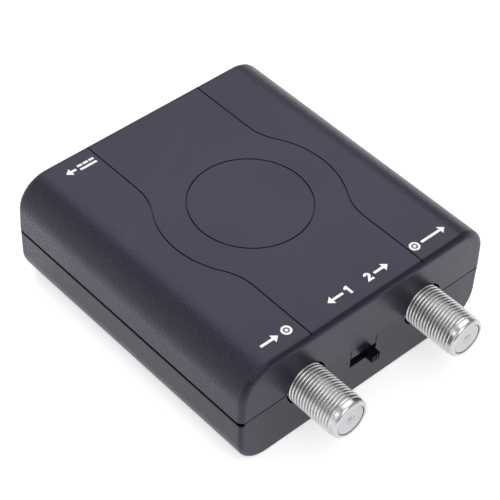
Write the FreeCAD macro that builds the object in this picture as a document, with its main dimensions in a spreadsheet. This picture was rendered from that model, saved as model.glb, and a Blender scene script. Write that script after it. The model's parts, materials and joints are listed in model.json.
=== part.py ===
import FreeCAD, Part
import math
import os
from types import SimpleNamespace

import Sketcher
from FreeCAD import Placement, Rotation, Vector

# RF modulator with two threaded aerial sockets and a channel slide switch on the front, and
# three phono sockets and a power inlet on the back.
# Frame: +Z up, the front faces -Y, and the origin is the centre of the case's underside.

SIZES = {
    # Case halves
    "case_width": 68.0,
    "case_depth": 71.4,
    "case_height": 27.0,
    "parting_height": 14.0,
    "parting_reveal": 0.55,
    "side_relief": 0.3,
    "seam_gap": 0.06,
    "wall": 2.0,
    "roof": 2.0,
    "floor_thickness": 2.0,
    "upper_side_radius": 7.5,
    "lower_side_radius": 7.4,
    "upper_end_round": 1.4,
    "lower_end_round": 1.0,
    "side_draft": 1.15,
    "lower_step": 0.15,
    "lip_rise": 1.6,
    "lip_thickness": 0.9,
    "lip_gap": 0.1,
    # Grooves on the roof
    "groove_width": 0.3,
    "groove_depth": 0.4,
    "ring_groove_radius": 13.35,
    "bulge_radius": 20.65,
    "groove_offset": 15.4,
    "groove_turn": 18.0,
    # Screw pillars at the corners
    "pillar_side_inset": 4.6,
    "pillar_end_inset": 3.25,
    "pillar_radius": 3.4,
    "pillar_height": 7.0,
    "well_radius": 2.8,
    "well_depth": 5.0,
    "boss_radius": 2.75,
    "screw_hole_radius": 1.6,
    "screw_radius": 1.2,
    "screw_head_radius": 2.6,
    "screw_head_height": 2.0,
    "screw_length": 10.0,
    "screw_head_bevel": 0.7,
    "recess_length": 2.9,
    "recess_width": 0.65,
    "recess_depth": 1.0,
    "pilot_gap": 0.05,
    # Circuit board and its standoffs
    "washer_board_gap": 0.3,
    "board_thickness": 1.6,
    "board_side_gap": 1.05,
    "board_end_gap": 0.6,
    "notch_gap": 0.3,
    "standoff_radius": 2.6,
    "standoff_inset": 3.8,
    "standoff_front": 13.25,
    "standoff_rear": 17.75,
    "board_screw_radius": 0.9,
    "board_screw_head": 2.1,
    "board_screw_head_height": 1.4,
    "board_screw_clearance": 0.6,
    "board_hole_radius": 1.3,
    "lead_width": 0.6,
    "lead_gap": 0.1,
    "lead_tail": 0.9,
    # Aerial sockets
    "socket_pillar_gap": 1.25,
    "socket_reach": 12.9,
    "socket_set_back": 6.3,
    "socket_hole_gap": 0.45,
    "thread_radius": 4.73,
    "thread_pitch_radius": 4.5,
    "thread_start": 0.3,
    "thread_runout": 0.3,
    "collar_radius": 4.56,
    "collar_length": 1.9,
    "collar_chamfer": 0.6,
    "socket_flange_radius": 5.6,
    "socket_flange_thickness": 1.0,
    "socket_core_radius": 3.5,
    "socket_face_recess": 0.3,
    "socket_face_thickness": 1.6,
    "socket_rear": 3.0,
    "socket_contact_radius": 1.1,
    "socket_contact_bore": 0.6,
    "socket_contact_depth": 9.0,
    "nut_across_flats": 11.0,
    "nut_thickness": 2.4,
    "nut_gap": 0.05,
    "washer_thickness": 0.6,
    "washer_radius": 6.1,
    # Shield round the radio stage
    "can_side": 6.7,
    "can_depth": 24.0,
    "can_roof_gap": 0.5,
    "can_sheet": 0.5,
    "can_divider": 2.0,
    "can_tab_front": 7.2,
    "can_tab_rear": 18.0,
    "lid_sheet": 0.4,
    "lid_washer_gap": 0.2,
    "lid_gap": 0.05,
    "lid_slit": 1.0,
    "lid_slit_pitch": 6.0,
    "tuning_hole_radius": 2.4,
    # Channel switch
    "slot_centre": -0.275,
    "slot_width": 7.35,
    "slot_drop": 1.45,
    "slot_height": 2.65,
    "tongue_gap": 0.2,
    "knob_centre": 1.3,
    "knob_width": 2.2,
    "knob_height": 1.8,
    "knob_reach": 2.2,
    "knob_rise": 2.7,
    "knob_travel": 3.0,
    "knob_gap": 0.12,
    "knob_rib_depth": 0.3,
    "slider_width": 5.6,
    "switch_depth": 4.2,
    "switch_front_gap": 0.5,
    "switch_sheet": 0.4,
    "switch_base_thickness": 0.8,
    "clip_width": 4.4,
    "clip_height": 2.4,
    "clip_depth": 0.9,
    "clip_sheet": 0.2,
    "terminal_pitch": 3.0,
    # Phono sockets
    "jack_boss_gap": 0.25,
    "jack_inlet_gap": 1.0,
    "jack_radius": 4.15,
    "jack_seat_radius": 3.95,
    "jack_bore": 3.7,
    "jack_reach": 6.5,
    "jack_chamfer": 0.35,
    "jack_hole_gap": 0.4,
    "jack_block_side": 5.2,
    "jack_block_depth": 10.9,
    "jack_block_gap": 0.3,
    "jack_web": 2.0,
    "jack_entry_radius": 1.65,
    "jack_entry_depth": 15.0,
    "jack_face_recess": 0.3,
    "jack_contact_radius": 2.3,
    "jack_contact_face": 2.0,
    # Power inlet
    "inlet_width": 9.0,
    "inlet_depth": 13.2,
    "inlet_height": 11.2,
    "inlet_nose_radius": 4.1,
    "inlet_bore_radius": 3.05,
    "inlet_bore_depth": 10.5,
    "inlet_recess": 0.4,
    "inlet_hole_gap": 0.3,
    "inlet_pin_radius": 1.0,
    "inlet_shank_radius": 0.75,
    "inlet_pin_length": 9.5,
    "inlet_leaf_width": 2.0,
    "inlet_leaf_thickness": 0.3,
    # Screened coils, placed in front of the shield's back wall
    "coil_width": 7.2,
    "coil_height": 10.5,
    "coil_sheet": 0.4,
    "coil_core_radius": 1.9,
    "coil_core_gap": 0.2,
    "coil_core_drop": 0.6,
    "coil_core_slot": 0.6,
    "coil_row": 4.8,
    # Modulator chip and combiner bead, placed behind the shield's front wall
    "chip_row": 10.1,
    "chip_length": 10.0,
    "chip_width": 4.0,
    "chip_height": 1.6,
    "chip_lift": 0.1,
    "chip_pitch": 1.27,
    "chip_leg_width": 0.45,
    "chip_leg_sheet": 0.25,
    "chip_foot": 0.5,
    "chip_span": 6.0,
    "chip_shoulder": 0.7,
    "bead_length": 6.4,
    "bead_depth": 5.0,
    "bead_height": 3.6,
    "bead_hole": 0.8,
    # Crystal
    "crystal_gap": 1.0,
    "crystal_length": 11.0,
    "crystal_width": 4.6,
    "crystal_height": 3.6,
    "crystal_rim": 0.3,
    "crystal_rim_height": 0.5,
    # Standing capacitors, placed behind the shield
    "capacitor_row": 12.0,
    "capacitor_lift": 0.2,
    "capacitor_bevel": 0.4,
    "reservoir_radius": 5.0,
    "reservoir_height": 12.5,
    "filter_radius": 4.0,
    "filter_height": 11.5,
    "coupling_radius": 2.5,
    "coupling_height": 11.0,
    # Rectifier diodes and regulator, placed behind the shield
    "diode_row": 4.7,
    "diode_pitch": 3.3,
    "diode_radius": 1.35,
    "diode_length": 5.2,
    "diode_lift": 1.6,
    "regulator_inset": 2.7,
    "regulator_row": 5.5,
    "regulator_radius": 2.4,
    "regulator_height": 4.7,
    "regulator_stand": 2.6,
    "regulator_flat": 1.2,
    "regulator_pitch": 1.27,
    # Small parts soldered flat on the board
    "flat_part_length": 2.0,
    "flat_part_width": 1.25,
    "flat_part_pitch": 3.0,
    "flat_resistor_height": 0.6,
    "flat_resistor_row": 3.0,
    "flat_capacitor_height": 0.85,
    "flat_capacitor_row": 9.65,
}

KNOB_RIBS = 4
LID_SLITS = 7
CHIP_LEGS = 7
DIODES = 4
FLAT_PARTS = 6


class Size:
    """A size from the sheet, or one worked out from it, with the formula that keeps it live."""

    def __init__(self, formula, number):
        self.formula = formula
        self.number = float(number)

    def __add__(self, other):
        return combined(self, "+", other)

    def __radd__(self, other):
        return combined(other, "+", self)

    def __sub__(self, other):
        return combined(self, "-", other)

    def __rsub__(self, other):
        return combined(other, "-", self)

    def __mul__(self, other):
        return combined(self, "*", other)

    def __rmul__(self, other):
        return combined(other, "*", self)

    def __truediv__(self, other):
        return combined(self, "/", other)

    def __neg__(self):
        return combined(-1, "*", self)


def as_size(value):
    if isinstance(value, Size):
        return value
    return Size(f"({float(value):.6f})", value)


def combined(first, sign, second):
    first = as_size(first)
    second = as_size(second)
    results = {
        "+": first.number + second.number,
        "-": first.number - second.number,
        "*": first.number * second.number,
        "/": first.number / (second.number or 1.0),
    }
    return Size(f"({first.formula} {sign} {second.formula})", results[sign])


doc = FreeCAD.newDocument("rf_modulator")
sheet = doc.addObject("Spreadsheet::Sheet", "Sizes")
for row, (alias, value) in enumerate(SIZES.items(), start=1):
    sheet.set(f"A{row}", alias)
    sheet.set(f"B{row}", str(value))
    sheet.setAlias(f"B{row}", alias)
doc.recompute()
s = SimpleNamespace(**{alias: Size(f"Sizes.{alias}", value) for alias, value in SIZES.items()})

TURN = {
    "up": Rotation(),
    "right": Rotation(Vector(0, 1, 0), 90),
    "back": Rotation(Vector(1, 0, 0), -90),
    "front": Rotation(Vector(1, 0, 0), 90),
    "down": Rotation(Vector(1, 0, 0), 180),
}
nodes = []


# Ties between the model and the sheet

def bind(item, **links):
    """Tie properties of an object to the sheet; a double underscore stands for a dot."""
    for path, value in links.items():
        item.setExpression(path.replace("__", "."), as_size(value).formula)


def move_to(item, across, along, height):
    bind(item, Placement__Base__x=across, Placement__Base__y=along, Placement__Base__z=height)


def node(item, name):
    """Name a finished piece and keep it for export."""
    item.Label = name
    nodes.append(item)
    return item


# Solids

def block(name, across, along, height):
    """A box between three pairs of limits."""
    item = doc.addObject("Part::Box", name)
    spans = (across, along, height)
    bind(item, Length=across[1] - across[0], Width=along[1] - along[0], Height=height[1] - height[0])
    move_to(item, *[span[0] for span in spans])
    return item


def around(centre, width):
    """The pair of limits that lie evenly about a centre."""
    return centre - width / 2, centre + width / 2


def rod(name, radius, start, length, way="up"):
    """A cylinder from its start point along one way."""
    item = doc.addObject("Part::Cylinder", name)
    bind(item, Radius=radius, Height=length)
    item.Placement = Placement(Vector(), TURN[way])
    move_to(item, *start)
    return item


def cut(name, base, *tools):
    """A solid less one or more others."""
    item = doc.addObject("Part::Cut", name)
    item.Base = base
    item.Tool = tools[0] if len(tools) == 1 else fused(name + "_tools", *tools)
    return item


def fused(name, *parts):
    item = doc.addObject("Part::MultiFuse", name)
    item.Shapes = list(parts)
    item.Refine = True
    return item


def grouped(name, *parts):
    """Like pieces kept as separate solids under one name."""
    item = doc.addObject("Part::Compound", name)
    item.Links = list(parts)
    return item


# Sketches

def new_body(name):
    return doc.addObject("PartDesign::Body", name)


def new_sketch(body, name, role, lift=None):
    """A sketch on one of the body's own origin planes, lifted along the plane's normal."""
    plane = [item for item in body.Origin.OriginFeatures if item.Role == role][0]
    sketch = body.newObject("Sketcher::SketchObject", name)
    sketch.AttachmentSupport = [(plane, "")]
    sketch.MapMode = "FlatFace"
    if lift is not None:
        bind(sketch, AttachmentOffset__Base__z=lift)
    return sketch


def dimension(sketch, value, kind, *places):
    """Add a driving dimension tied to the sheet."""
    index = sketch.addConstraint(Sketcher.Constraint(kind, *places, as_size(value).number))
    sketch.setExpression(f"Constraints[{index}]", as_size(value).formula)


def hold(sketch, edge, point, across=None, up=None):
    """Hold a point of an edge at its distances from the sketch's axes."""
    for kind, axis, value in (("DistanceX", -2, across), ("DistanceY", -1, up)):
        if value is None:
            continue
        if isinstance(value, Size):
            dimension(sketch, value, kind, -1, 1, edge, point)
        else:
            sketch.addConstraint(Sketcher.Constraint("PointOnObject", edge, point, axis))


def outline(sketch, corners):
    """A closed straight-sided outline with every corner held; a plain 0 lies on an axis."""
    spots = [Vector(as_size(across).number, as_size(up).number, 0) for across, up in corners]
    count = len(spots)
    first = sketch.GeometryCount
    for index in range(count):
        sketch.addGeometry(Part.LineSegment(spots[index], spots[(index + 1) % count]), False)
    for index in range(count):
        following = first + (index + 1) % count
        sketch.addConstraint(Sketcher.Constraint("Coincident", first + index, 2, following, 1))
    for index, (across, up) in enumerate(corners):
        hold(sketch, first + index, 1, across, up)


def circle(sketch, radius, across=0, up=0):
    spot = Vector(as_size(across).number, as_size(up).number, 0)
    edge = sketch.addGeometry(Part.Circle(spot, Vector(0, 0, 1), as_size(radius).number), False)
    hold(sketch, edge, 3, across, up)
    dimension(sketch, radius, "Radius", edge)


def pad(body, sketch, name, length, middle=False):
    item = body.newObject("PartDesign::Pad", name)
    item.Profile = sketch
    item.Midplane = middle
    bind(item, Length=length)
    return item


def turned(name, profile, place, way="up"):
    """A turned piece; its profile's corners are (radius, distance along the axis)."""
    body = new_body(name)
    sketch = new_sketch(body, name + "_profile", "XZ_Plane")
    outline(sketch, profile)
    spin = body.newObject("PartDesign::Revolution", name + "_spin")
    spin.Profile = sketch
    spin.ReferenceAxis = (sketch, ["V_Axis"])
    spin.Angle = 360
    body.Placement = Placement(Vector(), TURN[way])
    move_to(body, *place)
    return body


# Main levels and faces, worked out from the sheet
front = s.case_depth / -2
back = s.case_depth / 2
upper_rim = s.parting_height + s.parting_reveal / 2
lower_rim = s.parting_height - s.parting_reveal / 2
upper_half_width = s.case_width / 2
lower_half_width = s.case_width / 2 - s.lower_step
lower_half_depth = s.case_depth / 2 - s.lower_step
inner_half_width = lower_half_width - s.wall
inner_half_depth = lower_half_depth - s.wall
front_inside = front + s.lower_step + s.wall
back_inside = back - s.lower_step - s.wall
axis_above_board = s.washer_radius + s.washer_board_gap
board_top = s.parting_height - axis_above_board
board_under = board_top - s.board_thickness
lead_end = board_under - s.lead_tail
pillar_x = inner_half_width - s.pillar_side_inset
pillar_y = inner_half_depth - s.pillar_end_inset
board_half_width = inner_half_width - s.board_side_gap
board_half_depth = inner_half_depth - s.board_end_gap

# Aerial sockets and the shield behind them
socket_x = pillar_x - s.pillar_radius - s.washer_radius - s.socket_pillar_gap
socket_hole_radius = s.thread_radius + s.socket_hole_gap
can_front = front_inside + s.socket_set_back
can_back = can_front + s.can_depth
can_half_width = socket_x + s.can_side
can_inner_half = can_half_width - s.can_sheet
can_top = s.case_height - s.roof - s.can_roof_gap - s.lid_sheet
lid_rim = s.parting_height + s.washer_radius + s.lid_washer_gap
crystal_x = s.crystal_length / 2 + s.crystal_gap - can_inner_half
crystal_end = crystal_x + s.crystal_length / 2 + s.crystal_rim
left_room = (s.can_divider - s.can_sheet / 2 - can_inner_half) / 2
right_room = (s.can_divider + s.can_sheet / 2 + can_inner_half) / 2
coil_places = {
    "oscillator_coil": (right_room, can_back - s.coil_row),
    "sound_coil": ((crystal_end + s.can_divider - s.can_sheet / 2) / 2, can_back - s.coil_row),
}

# Screws that hold the board down
standoff_x = board_half_width - s.standoff_inset
standoff_rows = (can_front + s.standoff_front, can_front + s.standoff_rear + s.can_depth)

# Channel switch
knob_level = board_top + s.knob_rise
slot_left = s.slot_centre - s.slot_width / 2
slot_right = s.slot_centre + s.slot_width / 2
slot_low = knob_level - s.slot_drop
slot_top = slot_low + s.slot_height

# Back panel: the inlet and the block of three sockets fill the room between the bosses
jack_hole_radius = s.jack_radius + s.jack_hole_gap
inlet_hole_radius = s.inlet_nose_radius + s.inlet_hole_gap
row_half_width = pillar_x - s.boss_radius - s.jack_boss_gap
inlet_x = s.inlet_width / 2 - row_half_width
jack_first = inlet_x + s.inlet_width / 2 + s.jack_inlet_gap + s.jack_block_side
jack_last = row_half_width - s.jack_block_side
jack_places = {
    "video": jack_first,
    "audio_left": (jack_first + jack_last) / 2,
    "audio_right": jack_last,
}
lead_places = []


def lead(name, across, along, top, width=None):
    """A square lead from a height down through the board, which gets a hole for it."""
    width = s.lead_width if width is None else width
    lead_places.append((across, along, width))
    return block(name, around(across, width), around(along, s.lead_width), (lead_end, top))


# Case halves

def case_profile(body, name, half_width, rim, crown, radius):
    """Section of a case half: sides that lean in from the rim, rounded into a flat crown."""
    sketch = new_sketch(body, name, "XZ_Plane")
    a = as_size(half_width).number
    base = as_size(rim).number
    top = as_size(crown).number
    r = as_size(radius).number
    up = 1 if top > base else -1
    slope = math.tan(math.radians(s.side_draft.number))
    reach = math.hypot(1, slope)
    arc_z = top - up * r
    arc_x = a + slope * up * (base - arc_z) - r * reach
    touch = Vector(arc_x + r / reach, arc_z + up * slope * r / reach, 0)
    lean = math.atan(slope)
    right_span = (lean, math.pi / 2) if up > 0 else (-math.pi / 2, -lean)
    left_span = (math.pi - right_span[1], math.pi - right_span[0])
    axis = Vector(0, 0, 1)
    right_circle = Part.Circle(Vector(arc_x, arc_z, 0), axis, r)
    left_circle = Part.Circle(Vector(-arc_x, arc_z, 0), axis, r)
    edges = [
        Part.LineSegment(Vector(-a, base, 0), Vector(a, base, 0)),
        Part.LineSegment(Vector(a, base, 0), touch),
        Part.ArcOfCircle(right_circle, *right_span),
        Part.LineSegment(Vector(arc_x, top, 0), Vector(-arc_x, top, 0)),
        Part.ArcOfCircle(left_circle, *left_span),
        Part.LineSegment(Vector(-touch.x, touch.y, 0), Vector(-a, base, 0)),
    ]
    rim_line, right_side, right_arc, crown_line, left_arc, left_side = (
        sketch.addGeometry(edge, False) for edge in edges)
    low, high = (1, 2) if up > 0 else (2, 1)
    ties = [
        ("Coincident", rim_line, 2, right_side, 1),
        ("Coincident", left_side, 2, rim_line, 1),
        ("Tangent", right_side, 2, right_arc, low),
        ("Tangent", right_arc, high, crown_line, 1),
        ("Tangent", crown_line, 2, left_arc, low),
        ("Tangent", left_arc, high, left_side, 1),
        ("Horizontal", rim_line),
        ("Horizontal", crown_line),
    ]
    for tie in ties:
        sketch.addConstraint(Sketcher.Constraint(*tie))
    hold(sketch, rim_line, 1, -half_width, rim)
    hold(sketch, rim_line, 2, half_width)
    hold(sketch, crown_line, 1, None, crown)
    dimension(sketch, radius, "Radius", right_arc)
    dimension(sketch, radius, "Radius", left_arc)
    for edge, sign in ((right_side, up), (left_side, -up)):
        angle = math.radians(sign * (90 + s.side_draft.number))
        index = sketch.addConstraint(Sketcher.Constraint("Angle", edge, angle))
        sketch.setExpression(f"Constraints[{index}]", f"({sign}) * (90 + Sizes.side_draft) * 1 deg")
    return sketch


def case_form(name, half_width, half_depth, rim, crown, radius):
    """A case half as a plain solid, drawn across and padded along its depth."""
    body = new_body(name)
    sketch = case_profile(body, name + "_section", half_width, rim, crown, radius)
    pad(body, sketch, name + "_pad", half_depth * 2, middle=True)
    return body


def round_ends(body, radius, rim, half_depth):
    """Round the edges of the front and back faces, except along the rim."""
    doc.recompute()
    base = body.Tip
    chosen = []
    for index, edge in enumerate(base.Shape.Edges, start=1):
        spots = [vertex.Point for vertex in edge.Vertexes]
        on_end = all(abs(abs(spot.y) - half_depth.number) < 1e-4 for spot in spots)
        same_end = len({spot.y > 0 for spot in spots}) == 1
        on_rim = all(abs(spot.z - rim.number) < 1e-4 for spot in spots)
        if on_end and same_end and not on_rim:
            chosen.append(f"Edge{index}")
    fillet = body.newObject("PartDesign::Fillet", body.Name + "_end_rounds")
    fillet.Base = (base, chosen)
    bind(fillet, Radius=radius)
    return fillet


def groove_line(sketch, offset):
    """One edge of the curved groove: straight, reverse bend, bulge, reverse bend, straight."""
    straight_x = (s.groove_offset + offset).number
    bulge = (s.bulge_radius + offset).number
    turn = s.groove_turn.number
    bend = (straight_x ** 2 + turn ** 2 - bulge ** 2) / (2 * (bulge - straight_x))
    lean = math.atan2(turn, straight_x + bend)
    end = (back + s.wall).number
    axis = Vector(0, 0, 1)
    lower_circle = Part.Circle(Vector(straight_x + bend, -turn, 0), axis, bend)
    upper_circle = Part.Circle(Vector(straight_x + bend, turn, 0), axis, bend)
    pieces = [
        Part.LineSegment(Vector(straight_x, -end, 0), Vector(straight_x, -turn, 0)),
        Part.ArcOfCircle(lower_circle, math.pi - lean, math.pi),
        Part.ArcOfCircle(Part.Circle(Vector(), axis, bulge), -lean, lean),
        Part.ArcOfCircle(upper_circle, math.pi, math.pi + lean),
        Part.LineSegment(Vector(straight_x, turn, 0), Vector(straight_x, end, 0)),
    ]
    run_in, lower, middle, upper, run_out = (sketch.addGeometry(piece, False) for piece in pieces)
    ties = [
        ("Tangent", run_in, 2, lower, 2),
        ("Tangent", lower, 1, middle, 1),
        ("Tangent", middle, 2, upper, 2),
        ("Tangent", upper, 1, run_out, 1),
        ("Coincident", middle, 3, -1, 1),
        ("Vertical", run_in),
        ("Vertical", run_out),
    ]
    for tie in ties:
        sketch.addConstraint(Sketcher.Constraint(*tie))
    dimension(sketch, s.bulge_radius + offset, "Radius", middle)
    hold(sketch, run_in, 2, s.groove_offset + offset)
    hold(sketch, lower, 3, None, -s.groove_turn)
    hold(sketch, upper, 3, None, s.groove_turn)
    return run_in, run_out


def roof_grooves(body):
    """Two mirrored curved grooves that run off the front and back edges, and a ring groove."""
    sketch = new_sketch(body, "curved_groove_sketch", "XY_Plane", s.case_height)
    half = s.groove_width / 2
    inner_in, inner_out = groove_line(sketch, -half)
    outer_in, outer_out = groove_line(sketch, half)
    end = back + s.wall
    inner_x = (s.groove_offset - half).number
    outer_x = (s.groove_offset + half).number
    for side, first, first_point, second, second_point in (
            (-1, inner_in, 1, outer_in, 1), (1, inner_out, 2, outer_out, 2)):
        y = side * end.number
        cap = sketch.addGeometry(Part.LineSegment(Vector(inner_x, y, 0), Vector(outer_x, y, 0)), False)
        sketch.addConstraint(Sketcher.Constraint("Coincident", cap, 1, first, first_point))
        sketch.addConstraint(Sketcher.Constraint("Coincident", cap, 2, second, second_point))
        sketch.addConstraint(Sketcher.Constraint("Horizontal", cap))
        hold(sketch, cap, 1, None, end * side)
    curved = body.newObject("PartDesign::Pocket", "curved_groove")
    curved.Profile = sketch
    bind(curved, Length=s.groove_depth)
    twin = body.newObject("PartDesign::Mirrored", "curved_groove_pair")
    plane = [item for item in body.Origin.OriginFeatures if item.Role == "YZ_Plane"][0]
    twin.Originals = [curved]
    twin.MirrorPlane = (plane, [""])
    body.Tip = twin
    ring_sketch = new_sketch(body, "ring_groove_sketch", "XY_Plane", s.case_height)
    circle(ring_sketch, s.ring_groove_radius - half)
    circle(ring_sketch, s.ring_groove_radius + half)
    ring = body.newObject("PartDesign::Pocket", "ring_groove")
    ring.Profile = ring_sketch
    bind(ring, Length=s.groove_depth)
    body.Tip = ring


def corner_rods(name, radius, low, high):
    """Four upright cylinders, one at each screw position."""
    rods = []
    for across in (-1, 1):
        for along in (-1, 1):
            place = (pillar_x * across, pillar_y * along, low)
            rods.append(rod(name, radius, place, high - low))
    return rods


def wall_openings(name):
    """Round holes through the front and back walls, shared by both case halves."""
    depth = s.wall * 3
    tools = []
    for side in (-1, 1):
        start = (socket_x * side, front - s.wall, s.parting_height)
        tools.append(rod(name, socket_hole_radius, start, depth, "back"))
    for place in jack_places.values():
        tools.append(rod(name, jack_hole_radius, (place, back + s.wall, s.parting_height), depth, "front"))
    inlet_start = (inlet_x, back + s.wall, s.parting_height)
    tools.append(rod(name, inlet_hole_radius, inlet_start, depth, "front"))
    return tools


def build_top_cover():
    """Upper half: rounded shell with roof grooves, four bosses and the tongue over the slot."""
    outer = case_form("upper_form", upper_half_width, s.case_depth / 2, upper_rim, s.case_height,
                      s.upper_side_radius)
    round_ends(outer, s.upper_end_round, upper_rim, s.case_depth / 2)
    roof_grooves(outer)
    hollow = case_form("upper_hollow", inner_half_width, inner_half_depth, upper_rim,
                       s.case_height - s.roof, s.upper_side_radius - s.wall)
    rebate_reach = s.lip_thickness + s.lip_gap
    rebate_x = inner_half_width + rebate_reach
    rebate_y = inner_half_depth + rebate_reach
    rebate_top = upper_rim + s.lip_rise + s.lip_gap
    rebate = block("upper_rebate", (-rebate_x, rebate_x), (-rebate_y, rebate_y), (upper_rim, rebate_top))
    kept_bosses = corner_rods("boss_root", s.boss_radius, upper_rim, s.case_height)
    space = cut("upper_space", fused("upper_room", hollow, rebate), *kept_bosses)
    shell = cut("upper_shell", outer, space)
    bosses = corner_rods("boss", s.boss_radius, s.pillar_height, rebate_top + s.wall)
    tongue = block("slot_tongue", (slot_left + s.tongue_gap, slot_right - s.tongue_gap),
                   (front + s.lower_step, front_inside), (slot_top, upper_rim + s.wall))
    blank = fused("upper_blank", shell, tongue, *bosses)
    pilot_top = s.well_depth + s.screw_length + s.wall
    pilots = corner_rods("pilot", s.screw_radius + s.pilot_gap, s.pillar_height - s.wall, pilot_top)
    return node(cut("upper_cover_cut", blank, *pilots, *wall_openings("upper_opening")), "top_cover")


def build_bottom_cover():
    """Lower half: shell with lip, screw pillars with wells, standoffs and the switch slot."""
    outer = case_form("lower_form", lower_half_width, lower_half_depth, lower_rim, 0,
                      s.lower_side_radius)
    round_ends(outer, s.lower_end_round, lower_rim, lower_half_depth)
    hollow = case_form("lower_hollow", inner_half_width, inner_half_depth, lower_rim,
                       s.floor_thickness, s.lower_side_radius - s.floor_thickness)
    kept_pillars = corner_rods("pillar", s.pillar_radius, s.floor_thickness, s.pillar_height)
    kept_standoffs = []
    for side in (-1, 1):
        for along in standoff_rows:
            start = (standoff_x * side, along, s.floor_thickness)
            height = board_under - s.floor_thickness
            kept_standoffs.append(rod("standoff", s.standoff_radius, start, height))
    space = cut("lower_space", hollow, *kept_pillars, *kept_standoffs)
    shell = cut("lower_shell", outer, space)
    lip_x = inner_half_width + s.lip_thickness
    lip_y = inner_half_depth + s.lip_thickness
    lip_top = upper_rim + s.lip_rise
    lip_blank = block("lip_blank", (-lip_x, lip_x), (-lip_y, lip_y), (lower_rim - s.wall, lip_top))
    lip_room = block("lip_room", (-inner_half_width, inner_half_width),
                     (-inner_half_depth, inner_half_depth), (lower_rim - s.wall * 2, lip_top + s.wall))
    front_break = socket_x + socket_hole_radius + s.wall
    back_break = jack_places["audio_right"] + s.jack_block_side + s.jack_block_gap
    break_z = (lower_rim, lip_top + s.wall)
    front_gap = block("lip_front_gap", (-front_break, front_break), (front, front_inside), break_z)
    back_gap = block("lip_back_gap", (-back_break, back_break), (back_inside, back), break_z)
    lip = cut("lip", lip_blank, lip_room, front_gap, back_gap)
    seam = block("front_seam", (-socket_x, socket_x), (front + s.lower_step, front_inside),
                 (lower_rim - s.wall, upper_rim - s.seam_gap))
    blank = fused("lower_blank", shell, lip, seam)
    # The parting line stands open wider along the long sides
    relief_z = (lower_rim - s.side_relief, lower_rim + s.lip_gap)
    reliefs = []
    for across in ((-upper_half_width, -lip_x), (lip_x, upper_half_width)):
        reliefs.append(block("side_relief", across, (front, back), relief_z))
    wells = corner_rods("well", s.well_radius, -s.floor_thickness, s.well_depth)
    through = corner_rods("screw_hole", s.screw_hole_radius, s.floor_thickness, s.pillar_height + s.wall)
    pilots = []
    for side in (-1, 1):
        for along in standoff_rows:
            start = (standoff_x * side, along, s.floor_thickness)
            pilots.append(rod("board_pilot", s.board_screw_radius + s.pilot_gap, start, board_under))
    slot = block("switch_slot", (slot_left, slot_right), (front - s.wall, front_inside + s.wall),
                 (slot_low, upper_rim + s.wall))
    tools = [*wells, *through, *pilots, *reliefs, slot, *wall_openings("lower_opening")]
    return node(cut("lower_cover_cut", blank, *tools), "bottom_cover")


def pan_screw(name, shank, length, head, head_height, place, way="up"):
    """A pan-head screw placed by its head's seat, with a bevelled crown."""
    profile = [
        (0, -head_height),
        (head - s.screw_head_bevel, -head_height),
        (head, s.screw_head_bevel - head_height),
        (head, 0),
        (shank, 0),
        (shank, length),
        (0, length),
    ]
    return turned(name, profile, place, way)


def build_case_screws():
    """Four screws driven from below, with a cross recess in each head."""
    screws = []
    for across in (-1, 1):
        for along in (-1, 1):
            place = (pillar_x * across, pillar_y * along, s.well_depth)
            screw = pan_screw("case_screw_blank", s.screw_radius, s.screw_length, s.screw_head_radius,
                              s.screw_head_height, place)
            low = s.well_depth - s.screw_head_height
            deep = (low, low + s.recess_depth)
            long_arm = block("recess", around(place[0], s.recess_length),
                             around(place[1], s.recess_width), deep)
            cross_arm = block("recess", around(place[0], s.recess_width),
                              around(place[1], s.recess_length), deep)
            screws.append(cut("case_screw", screw, long_arm, cross_arm))
    return node(grouped("case_screw_set", *screws), "case_screws")


def build_board_screws():
    """Four small screws that hold the board down on its standoffs."""
    screws = []
    length = board_top - s.floor_thickness - s.board_screw_clearance
    for side in (-1, 1):
        for along in standoff_rows:
            place = (standoff_x * side, along, board_top)
            screws.append(pan_screw("board_screw", s.board_screw_radius, length,
                                    s.board_screw_head, s.board_screw_head_height, place, "down"))
    return node(grouped("board_screw_set", *screws), "board_screws")


# Aerial sockets

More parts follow.
